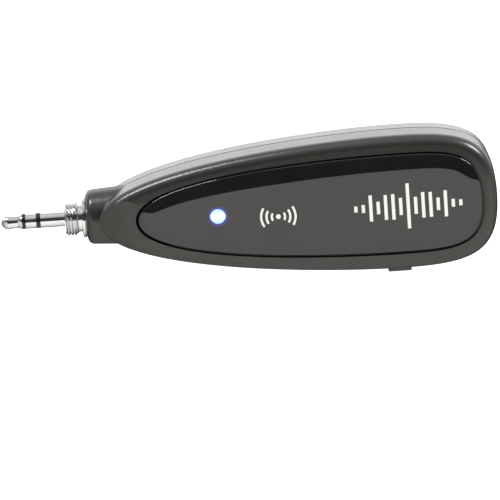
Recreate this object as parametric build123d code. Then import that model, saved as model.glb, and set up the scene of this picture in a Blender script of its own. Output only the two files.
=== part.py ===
from build123d import *
import os
from math import radians, tan

# Plug-on wireless transmitter for an instrument.  Millimetres.
# The origin is on the plug's axis at the front face of the threaded collar.
# The plug points along -X, the housing runs along +X, +Z leaves the face with the
# status light, and the charging socket and power switch are on the -Y side.

# ---- Driving dimensions ----------------------------------------------------------

# Housing: a teardrop in plan, split at Z = 0, with a round neck at its narrow end
NOSE_X = 7.7
TAIL_X = 98.6
WIDEST_X = 76.0
HALF_WIDTH = 15.6
TOP_Z = 9.1
BOTTOM_Z = -8.8
DRAFT_DEG = 1.5
EDGE_RADIUS = 2.5
RIM_SLOPE_WIDTH = 4.2
RIM_SLOPE_DROP = 0.28
NOSE_RAMP_BACK_X = 17.8
NOSE_RAMP_RADIUS = 25.0
WALL = 1.7
NECK_FRONT_X = 4.3
NECK_BACK_X = 14.0
NECK_RADIUS = 6.1
NECK_FLARE = 0.65
NECK_DOME_RADIUS = 20.0
NECK_EDGE_RADIUS = 1.5
CAVITY_FRONT_X = 15.6
SEAM_DEPTH = 0.42
SEAM_HALF_HEIGHT = 0.25
LIP_HEIGHT = 0.75
LIP_FRONT_X = 17.0

# Face panel and its adhesive, in a recess with an open groove round it
PANEL_NOSE_X = 16.75
PANEL_TAIL_X = 94.9
PANEL_HALF_WIDTH = 11.25
PANEL_GROOVE = 0.5
RECESS_FLOOR_Z = 8.0
ADHESIVE = 0.1
PANEL_EDGE_Z = 9.1
PANEL_CROWN = 0.35
PANEL_CROWN_REACH = 4.6

# Status light
LIGHT_X = 34.85
LIGHT_RADIUS = 1.75
LIGHT_FLANGE_RADIUS = 2.4

# Jack plug, three contacts, and the locking collar
PLUG_RADIUS = 1.75
PLUG_TIP_X = -14.6
TIP_BACK_X = -9.85
RING_FRONT_X = -9.0
RING_BACK_X = -6.6
SLEEVE_FRONT_X = -5.6
ROD_RADIUS = 0.45
TIP_TUBE_RADIUS = 0.75
RING_TUBE_RADIUS = 1.0
REAR_TUBE_RADIUS = 1.3
SLEEVE_SHANK_RADIUS = 2.3
THREAD_RADIUS = 4.0
THREAD_ROOT_RADIUS = 3.55
THREAD_PITCH = 0.75
THREAD_CREST = 0.16
THREAD_TURNS = 4
THREAD_BACK_X = 2.9
UNDERCUT_RADIUS = 3.25
FLANGE_RADIUS = 4.6
FLANGE_FRONT_X = 3.95
FLANGE_BACK_X = 4.7
SPIGOT_RADIUS = 4.2
HEX_FRONT_X = 6.8
HEX_BACK_X = 8.4
HEX_ACROSS_FLATS = 9.0
COLLAR_BACK_X = 10.1
COLLAR_TAIL_RADIUS = 3.6
POCKET_GAP = 0.1
LEAD_ROOM_RADIUS = 4.6

# Main circuit board
BOARD_TOP_Z = 2.6
BOARD_THICKNESS = 1.0
BOARD_FRONT_X = 19.5
BOARD_BACK_X = 93.5
BOARD_GAP = 0.9
BOARD_SCREWS = ((46.0, 9.0), (86.0, 0.0))

# Case screws, driven from the underside
CASE_SCREWS = ((28.0, 6.3), (28.0, -6.3), (88.5, 8.3), (88.5, -8.3))
SCREW_RADIUS = 1.0
SCREW_HEAD_RADIUS = 1.8
SCREW_SEAT_Z = -3.0
CASE_SCREW_TIP_Z = 4.8
CASE_HEAD_HEIGHT = 1.3
BOARD_SCREW_RADIUS = 0.8
BOARD_SCREW_TIP_Z = 5.2
BOARD_HEAD_RADIUS = 1.5
BOARD_HEAD_HEIGHT = 0.9
BOARD_STAND_RADIUS = 2.0
PILOT_SPARE = 0.4
HEAD_CLEARANCE = 0.2
DRIVE_HALF_WIDTH = 0.22
DRIVE_FLOOR = 0.5
POST_RADIUS = 2.9
BOSS_RADIUS = 2.3

# Charging socket
SOCKET_X = 61.6
SOCKET_Z = 3.95
SOCKET_MOUTH_Y = -14.85
SOCKET_BACK_Y = -9.7
SOCKET_HALF_WIDTH = 3.75
SOCKET_HALF_HEIGHT = 1.3
MOUTH_HALF_WIDTH = 4.15
MOUTH_HALF_HEIGHT = 1.52
SHEET = 0.25
CONTACT_PITCH = 0.65
TONGUE_HALF_WIDTH = 1.9
TONGUE_SETBACK = 0.9
TONGUE_LOW = 0.25
TONGUE_HIGH = 0.8
BLOCK_DEPTH = 0.8
STRIP = 0.12

# Power switch.  The knob rests at OFF, and ON is KNOB_TRAVEL towards the plug
KNOB_X = 75.4
KNOB_Z = 3.65
KNOB_LENGTH = 5.3
KNOB_HEIGHT = 3.7
KNOB_TRAVEL = 1.8
KNOB_FACE_Y = -16.45
KNOB_CORNER_RADIUS = 0.35
KNOB_EDGE_RADIUS = 0.2
SLOT_GAP = 0.3
SLOT_CORNER_RADIUS = 0.7
SLIDER_PLATE_OUT_Y = -14.15
SLIDER_PLATE_IN_Y = -13.45
SLIDER_OVERLAP = 0.5
SWITCH_FRONT_Y = -11.4
SWITCH_BACK_Y = -8.2
SWITCH_HALF_LENGTH = 4.0
SWITCH_BOTTOM_Z = 2.65
SWITCH_TOP_Z = 4.75
SWITCH_SHEET = 0.2
TERMINAL_PITCH = 2.4

# Battery
CELL_FRONT_X = 38.0
CELL_BACK_X = 82.0
CELL_HALF_WIDTH = 9.6
CELL_BOTTOM_Z = -6.7
CELL_THICKNESS = 5.0
LEAD_DIAMETER = 0.9
SIGNAL_LEAD_DIAMETER = 0.7

BOARD_BOTTOM_Z = BOARD_TOP_Z - BOARD_THICKNESS
CEILING_Z = TOP_Z - WALL - 0.2
FLOOR_Z = BOTTOM_Z + WALL
SWITCH_X = KNOB_X - KNOB_TRAVEL / 2


# ---- Shapes used by many parts ---------------------------------------------------

def block(x, y, z):
    """A box from three (low, high) pairs."""
    size = Box(x[1] - x[0], y[1] - y[0], z[1] - z[0])
    return Pos((x[0] + x[1]) / 2, (y[0] + y[1]) / 2, (z[0] + z[1]) / 2) * size


def chip(x, y, length, width, height):
    """A component standing on the board."""
    return block(
        (x - length / 2, x + length / 2),
        (y - width / 2, y + width / 2),
        (BOARD_TOP_Z, BOARD_TOP_Z + height),
    )


def post(x, y, low_z, high_z, radius):
    """A round bar along Z."""
    bar = Cylinder(radius, high_z - low_z, align=(Align.CENTER, Align.CENTER, Align.MIN))
    return Pos(x, y, low_z) * bar


def barrel(low_x, high_x, radius):
    """A round bar along the plug's axis."""
    bar = Cylinder(radius, high_x - low_x, align=(Align.CENTER, Align.CENTER, Align.MIN))
    return Pos(low_x, 0, 0) * Rot(0, 90, 0) * bar


def turned(*profile):
    """A body of revolution about the plug's axis, from (x, radius) corners."""
    outline = make_face(Polyline(*[(x, 0, r) for x, r in profile], close=True))
    return revolve(outline, Axis.X)


def teardrop(nose, tail, half_width, rises, runs, inset=0.0, z=0.0):
    """A plan outline: round nose, long flank, widest at WIDEST_X, blunt rounded tail.

    rises are the curve handles that stand up at the nose and the tail, and runs are
    the handles that lie along the flank, before and after the widest point.  An inset
    outline shortens both rises, which keeps it nearly parallel to the full one.
    """
    nose_rise = rises[0] - 1.3 * inset
    tail_rise = rises[1] - 0.8 * inset
    front_run, back_run = runs
    nose += inset
    tail -= inset
    wide = half_width - inset
    flank = Bezier(
        (nose, 0, z),
        (nose, nose_rise, z),
        (WIDEST_X - front_run, wide, z),
        (WIDEST_X, wide, z),
    )
    corner = Bezier(
        (WIDEST_X, wide, z),
        (WIDEST_X + back_run, wide, z),
        (tail, tail_rise, z),
        (tail, 0, z),
    )
    far_side = [flank, corner]
    near_side = [edge.mirror(Plane.XZ) for edge in far_side]
    return make_face(Wire(far_side + near_side))


def housing_plan(inset=0.0, z=0.0):
    return teardrop(NOSE_X, TAIL_X, HALF_WIDTH, (11.6, 13.7), (21.0, 15.8), inset, z)


def panel_plan(inset=0.0, z=0.0):
    return teardrop(
        PANEL_NOSE_X, PANEL_TAIL_X, PANEL_HALF_WIDTH, (9.9, 10.9), (14.5, 12.7), inset, z
    )


def slab(plan, low_z, high_z):
    """A plan face extruded between two heights."""
    return Pos(0, 0, low_z) * extrude(plan, high_z - low_z, dir=(0, 0, 1))


def half_space(upper):
    """Everything above the parting plane, or everything below it."""
    return block((-50, 150), (-50, 50), (0, 50) if upper else (-50, 0))


# ---- Housing ---------------------------------------------------------------------

def draft_inset(height_z):
    """How far the drafted wall has moved in at a height above or below the parting plane."""
    return abs(height_z) * tan(radians(DRAFT_DEG))


def bottom_half():
    """The lower half of the teardrop: drafted, flat underneath, with its edge rounded."""
    half = loft([housing_plan(), housing_plan(draft_inset(BOTTOM_Z), BOTTOM_Z)], ruled=True)
    outer_edges = half.edges().filter_by_position(Axis.Z, BOTTOM_Z, BOTTOM_Z)
    return fillet(outer_edges, EDGE_RADIUS)


def top_half():
    """The upper half: its rim slopes gently down from the panel before the rounded edge."""
    rim_z = TOP_Z - RIM_SLOPE_DROP
    rim_inset = draft_inset(rim_z)
    wall = loft([housing_plan(), housing_plan(rim_inset, rim_z)], ruled=True)
    slope = loft([housing_plan(rim_inset, rim_z), housing_plan(RIM_SLOPE_WIDTH, TOP_Z)], ruled=True)
    half = wall + slope
    outer_edges = half.edges().filter_by_position(Axis.Z, rim_z, rim_z)
    return fillet(outer_edges, EDGE_RADIUS)


def above_nose():
    """What the sloping top of the nose leaves out, down to the ridge over the neck."""
    axis_z = TOP_Z - NOSE_RAMP_RADIUS
    slope = Pos(NOSE_RAMP_BACK_X, 0, axis_z) * Rot(90, 0, 0) * Cylinder(NOSE_RAMP_RADIUS, 60)
    return block((0, NOSE_RAMP_BACK_X), (-25, 25), (axis_z, TOP_Z + 1)) - slope


def neck():
    """The round neck: it flares sideways towards the body and has a domed front."""
    front = Plane((NECK_FRONT_X - 0.5, 0, 0), x_dir=(0, 1, 0), z_dir=(1, 0, 0))
    back = Plane((NECK_BACK_X, 0, 0), x_dir=(0, 1, 0), z_dir=(1, 0, 0))
    sections = [
        front * Circle(NECK_RADIUS),
        back * Ellipse(NECK_RADIUS + NECK_FLARE, NECK_RADIUS),
    ]
    dome = Pos(NECK_FRONT_X + NECK_DOME_RADIUS, 0, 0) * Sphere(NECK_DOME_RADIUS)
    blank = loft(sections) & dome
    front_edge = blank.edges().sort_by(Axis.X)[0]
    return fillet(front_edge, NECK_EDGE_RADIUS)


def collar_pocket():
    """The space that the two shells leave for the collar and the plug's tail."""
    hex_plane = Plane((HEX_FRONT_X - POCKET_GAP, 0, 0), x_dir=(0, 1, 0), z_dir=(1, 0, 0))
    hexagon = RegularPolygon(HEX_ACROSS_FLATS / 2 + POCKET_GAP, 6, major_radius=False)
    hex_length = HEX_BACK_X - HEX_FRONT_X + 2 * POCKET_GAP
    pocket = barrel(0, HEX_FRONT_X, SPIGOT_RADIUS + POCKET_GAP)
    pocket += extrude(hex_plane * hexagon, hex_length)
    pocket += barrel(HEX_BACK_X, COLLAR_BACK_X + POCKET_GAP, COLLAR_TAIL_RADIUS + POCKET_GAP)
    pocket += barrel(COLLAR_BACK_X, CAVITY_FRONT_X + 0.1, LEAD_ROOM_RADIUS)
    return pocket


def seam_groove():
    """A fine groove along the parting line, round the body and the neck."""
    front_half = NECK_RADIUS - SEAM_DEPTH
    back_half = front_half + NECK_FLARE
    neck_plan = make_face(
        Polyline(
            (NECK_FRONT_X - 0.5, -front_half),
            (NECK_BACK_X, -back_half),
            (NECK_BACK_X, back_half),
            (NECK_FRONT_X - 0.5, front_half),
            close=True,
        )
    )
    around = Pos(50, 0, 0) * Box(120, 60, 2 * SEAM_HALF_HEIGHT)
    around -= slab(housing_plan(SEAM_DEPTH), -SEAM_HALF_HEIGHT, SEAM_HALF_HEIGHT)
    return around - slab(neck_plan, -SEAM_HALF_HEIGHT, SEAM_HALF_HEIGHT)


def shell_blank(upper):
    """One shell before its openings: outside shape less the cavity and the pocket."""
    body = top_half() - above_nose() if upper else bottom_half()
    outside = body + (neck() & half_space(upper))
    end_z = CEILING_Z if upper else FLOOR_Z
    cavity = loft([housing_plan(WALL), housing_plan(WALL + draft_inset(end_z), end_z)], ruled=True)
    cavity &= block((CAVITY_FRONT_X, 120), (-30, 30), (-20, 20))
    return outside - cavity - collar_pocket() - seam_groove()


def lip_ring(outer_inset, inner_inset, low_z):
    """The tongue that stands down from the upper shell inside the lower one."""
    ring = slab(housing_plan(outer_inset), low_z, 0) - slab(housing_plan(inner_inset), low_z - 1, 1)
    return ring & block((LIP_FRONT_X, 120), (-30, 30), (-5, 5))


def slot_opening():
    """The slot for the knob, through the thinned wall, and the space for its plate."""
    low = KNOB_X - KNOB_TRAVEL - KNOB_LENGTH / 2 - SLOT_GAP
    high = KNOB_X + KNOB_LENGTH / 2 + SLOT_GAP
    half_height = KNOB_HEIGHT / 2 + SLOT_GAP
    slot = block((low, high), (-18, -13), (KNOB_Z - half_height, KNOB_Z + half_height))
    slot = fillet(slot.edges().filter_by(Axis.Y), SLOT_CORNER_RADIUS)
    plate_low = low - SLIDER_OVERLAP - KNOB_TRAVEL - 0.3
    plate_high = high + SLIDER_OVERLAP + KNOB_TRAVEL + 0.3
    plate_half = half_height + SLIDER_OVERLAP + 0.2
    pocket = block(
        (plate_low, plate_high),
        (SLIDER_PLATE_OUT_Y - 0.1, -12),
        (KNOB_Z - plate_half, KNOB_Z + plate_half),
    )
    return slot + pocket


def socket_opening():
    """The window round the charging socket's flared mouth."""
    window = mouth_face(SOCKET_MOUTH_Y - 2, MOUTH_HALF_WIDTH + 0.15, MOUTH_HALF_HEIGHT + 0.15)
    return extrude(window, 4, dir=(0, 1, 0))


def top_shell():
    shell = shell_blank(True)
    bosses = [post(x, y, 0.05, CEILING_Z + 0.3, BOSS_RADIUS) for x, y in CASE_SCREWS]
    stands = [post(x, y, BOARD_TOP_Z, CEILING_Z + 0.3, BOARD_STAND_RADIUS) for x, y in BOARD_SCREWS]
    for piece in bosses + stands:
        shell += piece
    shell += lip_ring(0.9, WALL - 0.05, -LIP_HEIGHT)
    for x, y in CASE_SCREWS:
        shell -= post(x, y, -1, CASE_SCREW_TIP_Z + PILOT_SPARE, SCREW_RADIUS)
    for x, y in BOARD_SCREWS:
        shell -= post(x, y, 0, BOARD_SCREW_TIP_Z + PILOT_SPARE, BOARD_SCREW_RADIUS)
    shell -= slab(panel_plan(-PANEL_GROOVE), RECESS_FLOOR_Z, TOP_Z + 2)
    shell -= post(LIGHT_X, 0, 5, 12, LIGHT_RADIUS + 0.1)
    return shell - slot_opening() - socket_opening()


def bottom_shell():
    shell = shell_blank(False)
    for x, y in CASE_SCREWS:
        shell += post(x, y, FLOOR_Z - 0.3, -0.05, POST_RADIUS)
    shell -= lip_ring(0.8, WALL + 0.2, -LIP_HEIGHT - 0.1)
    for x, y in CASE_SCREWS:
        shell -= post(x, y, -12, SCREW_SEAT_Z, SCREW_HEAD_RADIUS + HEAD_CLEARANCE)
        shell -= post(x, y, -12, 1, SCREW_RADIUS + 0.15)
    return shell


def face_panel():
    """The glossy panel: upright sides, then a low crown towards its middle."""
    base = slab(panel_plan(), RECESS_FLOOR_Z + ADHESIVE, PANEL_EDGE_Z)
    steps = (0.0, 0.08, 0.3, 0.6, 1.0)
    sections = []
    for step in steps:
        rise = PANEL_CROWN * (1 - (1 - step) ** 3)
        sections.append(panel_plan(PANEL_CROWN_REACH * step, PANEL_EDGE_Z + rise))
    panel = base + loft(sections)
    return panel - post(LIGHT_X, 0, 5, 12, LIGHT_RADIUS + 0.04)


def panel_adhesive():
    film = slab(panel_plan(0.5), RECESS_FLOOR_Z, RECESS_FLOOR_Z + ADHESIVE)
    return film - post(LIGHT_X, 0, 5, 12, LIGHT_FLANGE_RADIUS)


def light_pipe():
    """Clear pin from the status light to the face, with a flange under the shell."""
    pin = post(LIGHT_X, 0, BOARD_TOP_Z + 1.1, PANEL_EDGE_Z + PANEL_CROWN - 0.02, LIGHT_RADIUS)
    pin = fillet(pin.edges().group_by(Axis.Z)[-1], 0.15)
    flange = post(LIGHT_X, 0, CEILING_Z - 0.8, CEILING_Z - 0.02, LIGHT_FLANGE_RADIUS)
    return pin + flange


def drive_cross(x, y, low_z, high_z, reach):
    """The cross-shaped recess in a screw's head."""
    half = DRIVE_HALF_WIDTH
    along = block((x - reach, x + reach), (y - half, y + half), (low_z, high_z))
    across = block((x - half, x + half), (y - reach, y + reach), (low_z, high_z))
    return along + across


def screw(x, y, seat_z, tip_z, shank_radius, head_radius, head_height):
    """A pan-head screw pointing up, its head below the seat."""
    head = post(x, y, seat_z - head_height, seat_z, head_radius)
    head = fillet(head.edges().group_by(Axis.Z)[0], head_height * 0.45)
    body = head + post(x, y, seat_z, tip_z, shank_radius)
    body = chamfer(body.edges().group_by(Axis.Z)[-1], shank_radius * 0.45)
    return body - drive_cross(x, y, seat_z - 2 * head_height, seat_z - DRIVE_FLOOR, head_radius * 0.6)


def case_screws():
    screws = []
    for x, y in CASE_SCREWS:
        screws.append(
            screw(x, y, SCREW_SEAT_Z, CASE_SCREW_TIP_Z, SCREW_RADIUS, SCREW_HEAD_RADIUS, CASE_HEAD_HEIGHT)
        )
    return screws


def board_screws():
    screws = []
    for x, y in BOARD_SCREWS:
        screws.append(
            screw(
                x,
                y,
                BOARD_BOTTOM_Z,
                BOARD_SCREW_TIP_Z,
                BOARD_SCREW_RADIUS,
                BOARD_HEAD_RADIUS,
                BOARD_HEAD_HEIGHT,
            )
        )
    return screws


# ---- Jack plug -------------------------------------------------------------------

def plug_tip():
    """The nose, its waist and the centre rod with a solder tab."""
    nose_r = 0.45
    body = turned(
        (PLUG_TIP_X, 0),
        (PLUG_TIP_X, nose_r),
        (PLUG_TIP_X + 0.3, PLUG_RADIUS - 0.75),
        (PLUG_TIP_X + 0.85, PLUG_RADIUS - 0.3),
        (PLUG_TIP_X + 1.45, PLUG_RADIUS - 0.12),
        (TIP_BACK_X - 0.95, PLUG_RADIUS - 0.35),
        (TIP_BACK_X - 0.3, PLUG_RADIUS - 0.1),
        (TIP_BACK_X, PLUG_RADIUS - 0.05),
        (TIP_BACK_X, ROD_RADIUS),
        (13.0, ROD_RADIUS),
        (13.0, 0),
    )
    return body + block((12.8, 14.4), (-0.6, 0.6), (-0.15, 0.15))


def insulator(front_x, back_x, inner_radius, tube_radius, tail_x):
    """A black ring on the plug's surface with a tube behind it."""
    return turned(
        (front_x, inner_radius),
        (front_x, PLUG_RADIUS),
        (back_x, PLUG_RADIUS),
        (back_x, tube_radius),
        (tail_x, tube_radius),
        (tail_x, inner_radius),
    )


def plug_ring():
    contact = turned(
        (RING_FRONT_X, TIP_TUBE_RADIUS),
        (RING_FRONT_X, PLUG_RADIUS),
        (RING_BACK_X, PLUG_RADIUS),
        (RING_BACK_X, RING_TUBE_RADIUS),
        (11.4, RING_TUBE_RADIUS),
        (11.4, TIP_TUBE_RADIUS),
    )
    return contact + block((10.9, 12.6), (-0.4, 0.4), (0.86, 1.1))


def plug_sleeve():
    contact = turned(
        (SLEEVE_FRONT_X, REAR_TUBE_RADIUS),
        (SLEEVE_FRONT_X, PLUG_RADIUS),
        (0, PLUG_RADIUS),
        (0, SLEEVE_SHANK_RADIUS),
        (9.4, SLEEVE_SHANK_RADIUS),
        (9.4, REAR_TUBE_RADIUS),
    )
    return contact + block((9.2, 11.6), (-0.6, 0.6), (-2.1, -1.75))


def collar_profile():
    """Corners of the collar: crests of the thread, undercut, flange and spigot."""
    corners = [(0, SLEEVE_SHANK_RADIUS), (0, THREAD_ROOT_RADIUS)]
    flank = (THREAD_PITCH - THREAD_CREST) / 2
    for turn in range(THREAD_TURNS):
        start = turn * THREAD_PITCH - THREAD_CREST + flank
        corners.append((start, THREAD_RADIUS))
        corners.append((start + THREAD_CREST, THREAD_RADIUS))
        corners.append((start + THREAD_CREST + flank, THREAD_ROOT_RADIUS))
    corners[-1] = (THREAD_BACK_X, THREAD_ROOT_RADIUS)
    corners.append((THREAD_BACK_X, UNDERCUT_RADIUS))
    corners.append((FLANGE_FRONT_X, UNDERCUT_RADIUS))
    corners.append((FLANGE_FRONT_X, FLANGE_RADIUS))
    corners.append((FLANGE_BACK_X, FLANGE_RADIUS))
    corners.append((FLANGE_BACK_X, SPIGOT_RADIUS))
    corners.append((HEX_FRONT_X + 0.2, SPIGOT_RADIUS))
    corners.append((HEX_FRONT_X + 0.2, COLLAR_TAIL_RADIUS))
    corners.append((COLLAR_BACK_X, COLLAR_TAIL_RADIUS))
    corners.append((COLLAR_BACK_X, SLEEVE_SHANK_RADIUS))
    return corners


def threaded_collar():
    hex_plane = Plane((HEX_FRONT_X, 0, 0), x_dir=(0, 1, 0), z_dir=(1, 0, 0))
    hexagon = hex_plane * RegularPolygon(HEX_ACROSS_FLATS / 2, 6, major_radius=False)
    grip = extrude(hexagon, HEX_BACK_X - HEX_FRONT_X)
    return turned(*collar_profile()) + (grip - barrel(0, 20, SLEEVE_SHANK_RADIUS))


# ---- Circuit board and its components --------------------------------------------

def main_board():
    board = slab(housing_plan(WALL + BOARD_GAP), BOARD_BOTTOM_Z, BOARD_TOP_Z)
    board &= block((BOARD_FRONT_X, BOARD_BACK_X), (-30, 30), (-20, 20))
    for x, y in CASE_SCREWS:
        board -= post(x, y, 0, 5, BOSS_RADIUS + 0.3)
    for x, y in BOARD_SCREWS:
        board -= post(x, y, 0, 5, SCREW_RADIUS)
    return board


def shield_can():
    can = chip(78.5, 6.0, 10.0, 9.0, 1.8)
    hollow = Pos(0, 0, -0.2) * chip(78.5, 6.0, 9.6, 8.6, 1.8)
    return can - hollow


def leaded_chip(x, y, size, height, pins_a_side):
    """A moulded chip with a row of pins on each of two sides."""
    body = Pos(0, 0, 0.1) * chip(x, y, size, size, height)
    pitch = size / (pins_a_side + 1)
    for side in (-1, 1):
        for pin in range(pins_a_side):
            pin_x = x + (pin - (pins_a_side - 1) / 2) * pitch
            body += chip(pin_x, y + side * (size / 2 + 0.3), pitch / 2, 1.0, 0.25)
    return body


def small_parts(places, length, width, height):
    return [chip(x, y, length, width, height) for x, y in places]


def ceramic_capacitors():
    around_chips = [(58.0 + 1.9 * i, -0.8) for i in range(6)]
    around_light = [(38.0 + 1.9 * i, 4.4) for i in range(4)]
    return small_parts(around_chips + around_light, 0.8, 1.6, 0.8)


def chip_resistors():
    by_socket = [(55.6, -9.6 + 1.6 * i) for i in range(3)]
    by_radio = [(70.2, 2.6 + 1.5 * i) for i in range(4)]
    by_front = [(24.2, -1.8 + 1.8 * i) for i in range(3)]
    return small_parts(by_socket + by_radio + by_front, 1.6, 0.8, 0.5)


def tantalum_capacitors():
    return small_parts([(48.4, -8.6), (48.4, -5.0)], 3.5, 2.8, 1.9)


def inductor():
    core = chip(42.0, -7.0, 4.0, 4.0, 2.0)
    return fillet(core.edges().filter_by(Axis.Z), 0.8)


# ---- Charging socket -------------------------------------------------------------

def mouth_face(y, half_width, half_height):
    """The socket's section: wide at the top, its lower corners cut away."""
    corners = [
        (-half_width, half_height),
        (half_width, half_height),
        (half_width, 0.1),
        (half_width - 1.25, -half_height),
        (1.25 - half_width, -half_height),
        (-half_width, 0.1),
    ]
    return make_face(
        Polyline(*[(SOCKET_X + x, y, SOCKET_Z + z) for x, z in corners], close=True)
    )


def socket_form(shrink):
    """The straight barrel and its flared mouth, shrunk for the inside."""
    flare_y = SOCKET_MOUTH_Y + 0.7
    narrow = (SOCKET_HALF_WIDTH - shrink, SOCKET_HALF_HEIGHT - shrink)
    wide = (MOUTH_HALF_WIDTH - shrink, MOUTH_HALF_HEIGHT - shrink)
    straight = extrude(mouth_face(flare_y, *narrow), SOCKET_BACK_Y - flare_y, dir=(0, 1, 0))
    flare = loft([mouth_face(SOCKET_MOUTH_Y, *wide), mouth_face(flare_y, *narrow)], ruled=True)
    return straight + flare


def socket_shell():
    shell = socket_form(0) - socket_form(SHEET)
    side = SOCKET_HALF_WIDTH - 0.1
    for low, high in ((-side - 0.9, -side), (side, side + 0.9)):
        foot = block((SOCKET_X + low, SOCKET_X + high), (-11.8, -10.2), (BOARD_TOP_Z, 4.2))
        shell += foot - socket_form(0.1)
    return shell


def socket_tongue():
    back = socket_form(SHEET) & block((50, 70), (SOCKET_BACK_Y - BLOCK_DEPTH, -5), (0, 10))
    tongue = block(
        (SOCKET_X - TONGUE_HALF_WIDTH, SOCKET_X + TONGUE_HALF_WIDTH),
        (SOCKET_MOUTH_Y + TONGUE_SETBACK, SOCKET_BACK_Y - BLOCK_DEPTH / 2),
        (SOCKET_Z + TONGUE_LOW, SOCKET_Z + TONGUE_HIGH),
    )
    return back + tongue


def socket_contacts():
    strips = []
    for i in range(5):
        x = SOCKET_X + (i - 2) * CONTACT_PITCH
        across = (x - 0.18, x + 0.18)
        strip = block(
            across,
            (SOCKET_MOUTH_Y + TONGUE_SETBACK + 0.2, SOCKET_BACK_Y - BLOCK_DEPTH),
            (SOCKET_Z + TONGUE_LOW - STRIP, SOCKET_Z + TONGUE_LOW),
        )
        tail = block(across, (SOCKET_BACK_Y, SOCKET_BACK_Y + 0.9), (BOARD_TOP_Z, BOARD_TOP_Z + 0.15))
        riser = block(across, (SOCKET_BACK_Y, SOCKET_BACK_Y + 0.15), (BOARD_TOP_Z, SOCKET_Z + TONGUE_LOW))
        strips += [strip, tail + riser]
    return strips


# ---- Power switch ----------------------------------------------------------------

def power_knob():
    """The knob, the plate behind the slot and the fork over the switch's lever."""
    half_length = KNOB_LENGTH / 2
    half_height = KNOB_HEIGHT / 2
    knob = block(
        (KNOB_X - half_length, KNOB_X + half_length),
        (KNOB_FACE_Y, SLIDER_PLATE_OUT_Y),
        (KNOB_Z - half_height, KNOB_Z + half_height),
    )
    knob = fillet(knob.edges().filter_by(Axis.Y), KNOB_CORNER_RADIUS)
    knob = fillet(knob.edges().group_by(Axis.Y)[0], KNOB_EDGE_RADIUS)
    low = KNOB_X - half_length - SLOT_GAP - SLIDER_OVERLAP - KNOB_TRAVEL
    high = KNOB_X + half_length + SLOT_GAP + SLIDER_OVERLAP + KNOB_TRAVEL
    plate_half = half_height + SLOT_GAP + SLIDER_OVERLAP
    plate = block(
        (low, high),
        (SLIDER_PLATE_OUT_Y, SLIDER_PLATE_IN_Y),
        (KNOB_Z - plate_half, KNOB_Z + plate_half),
    )
    slider = knob + plate
    for side in (-1, 1):
        prong_x = KNOB_X + side * 1.25
        slider += block(
            (prong_x - 0.4, prong_x + 0.4),
            (SLIDER_PLATE_IN_Y, SWITCH_FRONT_Y - 0.4),
            (3.1, 4.6),
        )
    return slider


def switch_lever():
    """The switch's own lever, gripped by the fork, with its block inside the frame."""
    lever = block((KNOB_X - 0.8, KNOB_X + 0.8), (-13.0, SWITCH_FRONT_Y + 0.4), (3.4, 4.3))
    inner = block((KNOB_X - 1.6, KNOB_X + 1.6), (SWITCH_FRONT_Y + 0.3, -8.9), (3.45, 4.45))
    return lever + inner


def switch_wiper():
    return block((KNOB_X - 1.5, KNOB_X + 1.5), (-10.3, -9.3), (3.31, 3.45))


def switch_frame():
    low = SWITCH_X - SWITCH_HALF_LENGTH
    high = SWITCH_X + SWITCH_HALF_LENGTH
    t = SWITCH_SHEET
    frame = block((low, high), (SWITCH_FRONT_Y, SWITCH_BACK_Y), (SWITCH_BOTTOM_Z, SWITCH_TOP_Z))
    frame -= block(
        (low + t, high - t),
        (SWITCH_FRONT_Y + t, SWITCH_BACK_Y - t),
        (SWITCH_BOTTOM_Z - 1, SWITCH_TOP_Z - t),
    )
    reach = KNOB_TRAVEL / 2 + 0.8 + 0.1
    frame -= block((SWITCH_X - reach, SWITCH_X + reach), (-12, SWITCH_FRONT_Y + 0.3), (3.3, 4.4))
    for x in terminal_places():
        frame -= block((x - 0.6, x + 0.6), (SWITCH_BACK_Y - 0.3, -8), (0, 3.45))
    return frame


def terminal_places():
    return [SWITCH_X + (i - 1) * TERMINAL_PITCH for i in range(3)]


def switch_base():
    return block(
        (SWITCH_X - SWITCH_HALF_LENGTH + SWITCH_SHEET, SWITCH_X + SWITCH_HALF_LENGTH - SWITCH_SHEET),
        (SWITCH_FRONT_Y + SWITCH_SHEET, -8.45),
        (SWITCH_BOTTOM_Z, 3.15),
    )


def switch_terminals():
    """Three contacts, each a pad on the base and a leg bent down to the board."""
    terminals = []
    for x in terminal_places():
        across = (x - 0.45, x + 0.45)
        pad = block(across, (-10.5, -8.25), (3.15, 3.26))
        leg = block(across, (-8.4, -8.25), (BOARD_TOP_Z, 3.26))
        foot = block(across, (-8.4, -7.3), (BOARD_TOP_Z, BOARD_TOP_Z + 0.14))
        terminals.append(pad + leg + foot)
    return terminals


# ---- Battery and leads -----------------------------------------------------------

def battery_cell():
    cell = block(
        (CELL_FRONT_X, CELL_BACK_X),
        (-CELL_HALF_WIDTH, CELL_HALF_WIDTH),
        (CELL_BOTTOM_Z, CELL_BOTTOM_Z + CELL_THICKNESS),
    )
    return fillet(cell.edges().filter_by(Axis.X), 1.6)


def battery_pad():
    return block((42, 78), (-7, 7), (FLOOR_Z, CELL_BOTTOM_Z))


def protection_board():
    return block((CELL_FRONT_X - 0.9, CELL_FRONT_X), (-8, 8), (-5.9, -2.5))


def battery_header():
    """A two-way header under the board, open towards the plug end."""
    shroud = block((30.0, 34.0), (-3.0, 3.0), (-1.5, BOARD_BOTTOM_Z))
    return shroud - block((29.0, 33.2), (-2.5, 2.5), (-1.0, 1.1))


def battery_connector():
    return block((27.2, 33.0), (-2.4, 2.4), (-0.9, 1.0))


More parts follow.
